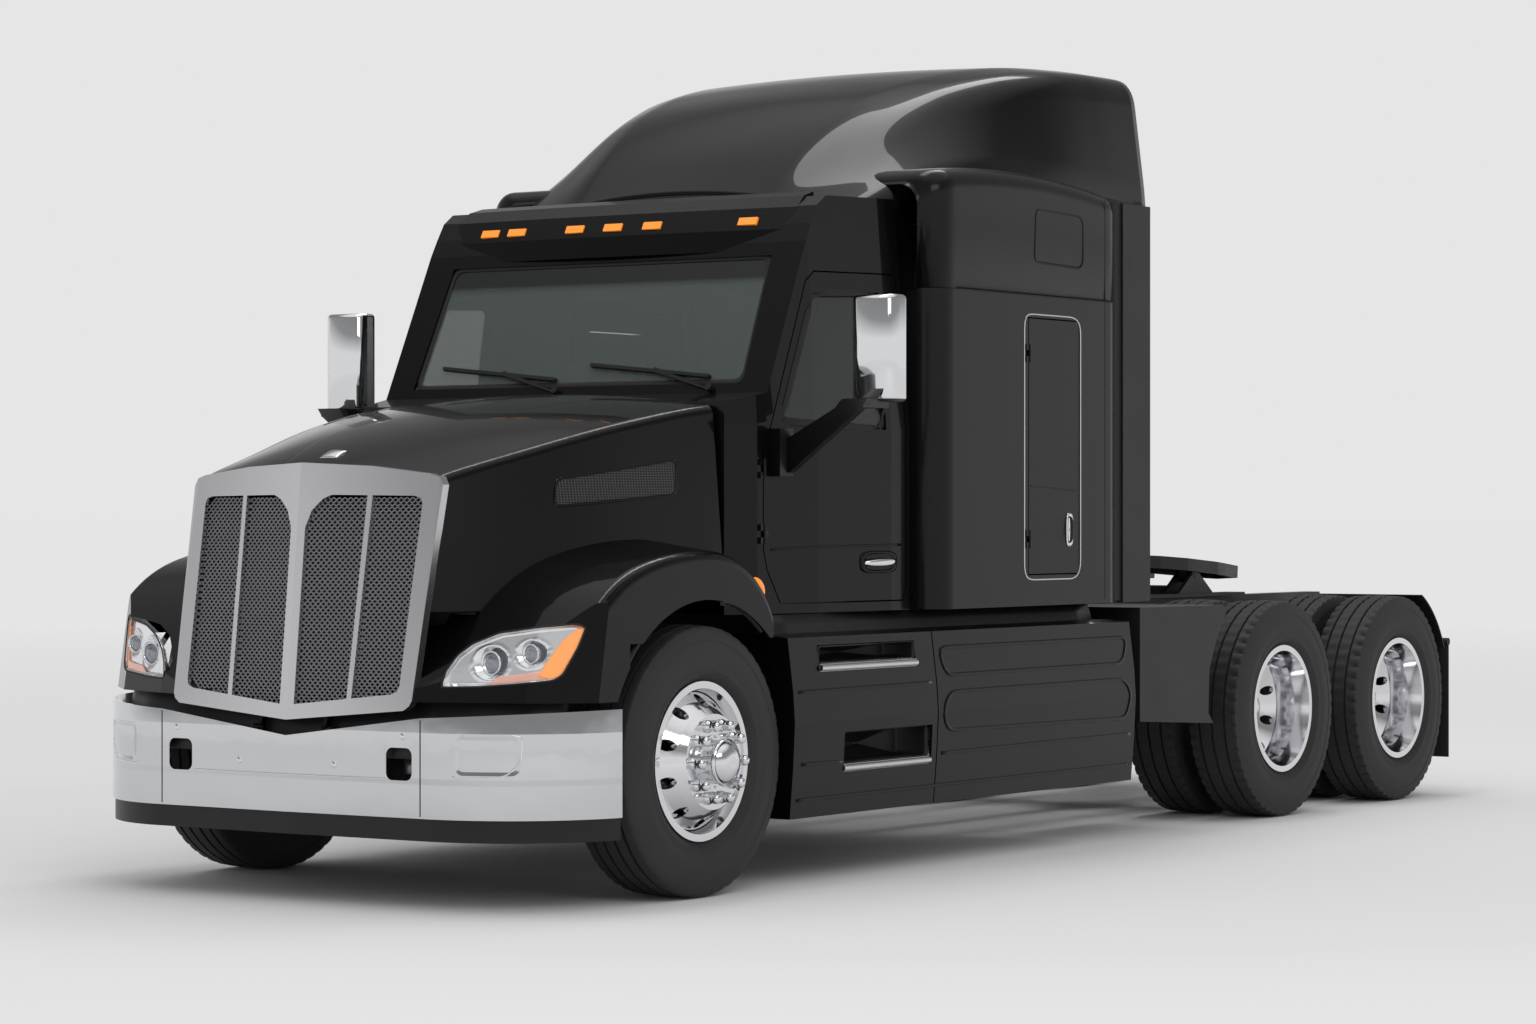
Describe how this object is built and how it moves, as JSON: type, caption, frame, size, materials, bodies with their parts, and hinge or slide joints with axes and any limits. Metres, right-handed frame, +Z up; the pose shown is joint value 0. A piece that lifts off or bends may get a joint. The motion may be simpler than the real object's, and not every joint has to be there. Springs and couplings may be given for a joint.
{
  "type": "semi truck tractor unit",
  "caption": "Conventional sleeper-cab semi truck tractor with a tilting hood, opening doors, steered front wheels, dual drive wheels and a fifth wheel.",
  "frame": {"origin": "on the ground plane, midway along and across the vehicle's outer box", "axes": "+X to the vehicle's left, +Y to its rear, +Z up"},
  "size_m": [2.96, 7.82, 3.4917],
  "materials": {
    "body_black": "gloss",
    "frame_black": "satin",
    "chrome": "polished",
    "satin_silver": "brushed",
    "mesh_silver": "satin",
    "polished_aluminium": "polished",
    "tyre_rubber": "matte",
    "rubber": "matte",
    "black_plastic": "matte",
    "lens_clear": "gloss",
    "lens_amber": "gloss",
    "lens_red": "gloss",
    "window_glass": "gloss",
    "cast_iron": "rough",
    "tank_aluminium": "satin",
    "seat_fabric": "matte"
  },
  "bodies": {
    "chassis": {"frame_rails": "frame_black", "engine": "cast_iron", "front_axle": "frame_black", "suspension": "frame_black", "drive_axles": "frame_black", "bumper": "chrome", "bumper_valance": "black_plastic", "cab_shell": "body_black", "windshield": "window_glass", "sun_visor": "body_black", "sleeper_shell": "body_black", "roof_fairing": "body_black", "side_extenders": "black_plastic", "wipers": "black_plastic", "chassis_fairings": "body_black", "step_treads": "satin_silver", "fuel_tanks": "tank_aluminium", "drive_fenders": "black_plastic", "mud_flaps": "rubber", "fifth_wheel_mount": "frame_black", "dashboard": "black_plastic", "seats": "seat_fabric", "marker_lights": "lens_amber", "tail_lights": "lens_red"},
    "hood_tilt_body": {"hood": "body_black", "grille_surround": "satin_silver", "grille_mesh": "mesh_silver", "headlights": "lens_clear"},
    "plate_body": {"fifth_wheel_plate": "cast_iron"},
    "tie_rod_body": {"tie_rod": "frame_black"},
    "door_left_body": {"door_left": "body_black", "door_glass_left": "window_glass", "mirror_left": "chrome"},
    "luggage_left_body": {"luggage_door_left": "body_black"},
    "knuckle_left_body": {"knuckle_left": "cast_iron"},
    "steer_left_body": {"steer_tyre_left": "tyre_rubber", "steer_wheel_left": "polished_aluminium"},
    "drive_front_left_body": {"drive_tyres_front_left": "tyre_rubber", "drive_wheels_front_left": "polished_aluminium"},
    "drive_rear_left_body": {"drive_tyres_rear_left": "tyre_rubber", "drive_wheels_rear_left": "polished_aluminium"},
    "door_right_body": {"door_right": "body_black", "door_glass_right": "window_glass", "mirror_right": "chrome"},
    "luggage_right_body": {"luggage_door_right": "body_black"},
    "knuckle_right_body": {"knuckle_right": "cast_iron"},
    "steer_right_body": {"steer_tyre_right": "tyre_rubber", "steer_wheel_right": "polished_aluminium"},
    "drive_front_right_body": {"drive_tyres_front_right": "tyre_rubber", "drive_wheels_front_right": "polished_aluminium"},
    "drive_rear_right_body": {"drive_tyres_rear_right": "tyre_rubber", "drive_wheels_rear_right": "polished_aluminium"}
  },
  "joints": [
    {"name": "hood_tilt", "type": "hinge", "parent": "chassis", "child": "hood_tilt_body", "pos_m": [0, -3.874, 0.655], "axis": [1, 0, 0], "range_deg": [0, 60]},
    {"name": "fifth_wheel_tilt", "type": "hinge", "parent": "chassis", "child": "plate_body", "pos_m": [0, 2.48, 1.152], "axis": [1, 0, 0], "range_deg": [-3, 15]},
    {"name": "door_left_swing", "type": "hinge", "parent": "chassis", "child": "door_left_body", "pos_m": [0.997, -2.184, 1.5], "axis": [0, 0, -1], "range_deg": [0, 65]},
    {"name": "luggage_left_swing", "type": "hinge", "parent": "chassis", "child": "luggage_left_body", "pos_m": [1.207, -0.473, 1.75], "axis": [0, 0, -1], "range_deg": [0, 100]},
    {"name": "steer_left", "type": "hinge", "parent": "chassis", "child": "knuckle_left_body", "pos_m": [0.9, -2.86, 0.52], "axis": [0, 0, 1], "range_deg": [-35, 35]},
    {"name": "steer_wheel_left_spin", "type": "hinge", "parent": "knuckle_left_body", "child": "steer_left_body", "pos_m": [1.055, -2.86, 0.52], "axis": [1, 0, 0], "continuous": true},
    {"name": "drive_front_left_spin", "type": "hinge", "parent": "chassis", "child": "drive_front_left_body", "pos_m": [0.906, 1.945, 0.52], "axis": [1, 0, 0], "continuous": true},
    {"name": "drive_rear_left_spin", "type": "hinge", "parent": "chassis", "child": "drive_rear_left_body", "pos_m": [0.906, 3.23, 0.52], "axis": [1, 0, 0], "continuous": true},
    {"name": "door_right_swing", "type": "hinge", "parent": "chassis", "child": "door_right_body", "pos_m": [-0.997, -2.184, 1.5], "axis": [0, 0, 1], "range_deg": [0, 65]},
    {"name": "luggage_right_swing", "type": "hinge", "parent": "chassis", "child": "luggage_right_body", "pos_m": [-1.207, -0.473, 1.75], "axis": [0, 0, 1], "range_deg": [0, 100]},
    {"name": "steer_right", "type": "hinge", "parent": "chassis", "child": "knuckle_right_body", "pos_m": [-0.9, -2.86, 0.52], "axis": [0, 0, 1], "range_deg": [-35, 35]},
    {"name": "steer_wheel_right_spin", "type": "hinge", "parent": "knuckle_right_body", "child": "steer_right_body", "pos_m": [-1.055, -2.86, 0.52], "axis": [1, 0, 0], "continuous": true},
    {"name": "drive_front_right_spin", "type": "hinge", "parent": "chassis", "child": "drive_front_right_body", "pos_m": [-0.906, 1.945, 0.52], "axis": [1, 0, 0], "continuous": true},
    {"name": "drive_rear_right_spin", "type": "hinge", "parent": "chassis", "child": "drive_rear_right_body", "pos_m": [-0.906, 3.23, 0.52], "axis": [1, 0, 0], "continuous": true},
    {"name": "tie_rod_pivot", "type": "hinge", "parent": "knuckle_left_body", "child": "tie_rod_body", "pos_m": [0.9, -2.67, 0.4], "axis": [0, 0, 1], "range_deg": [-35, 35]}
  ],
  "couplings": [
    {"joint": "steer_right", "follows": "steer_left", "ratio": 1},
    {"joint": "tie_rod_pivot", "follows": "steer_left", "ratio": -1}
  ]
}
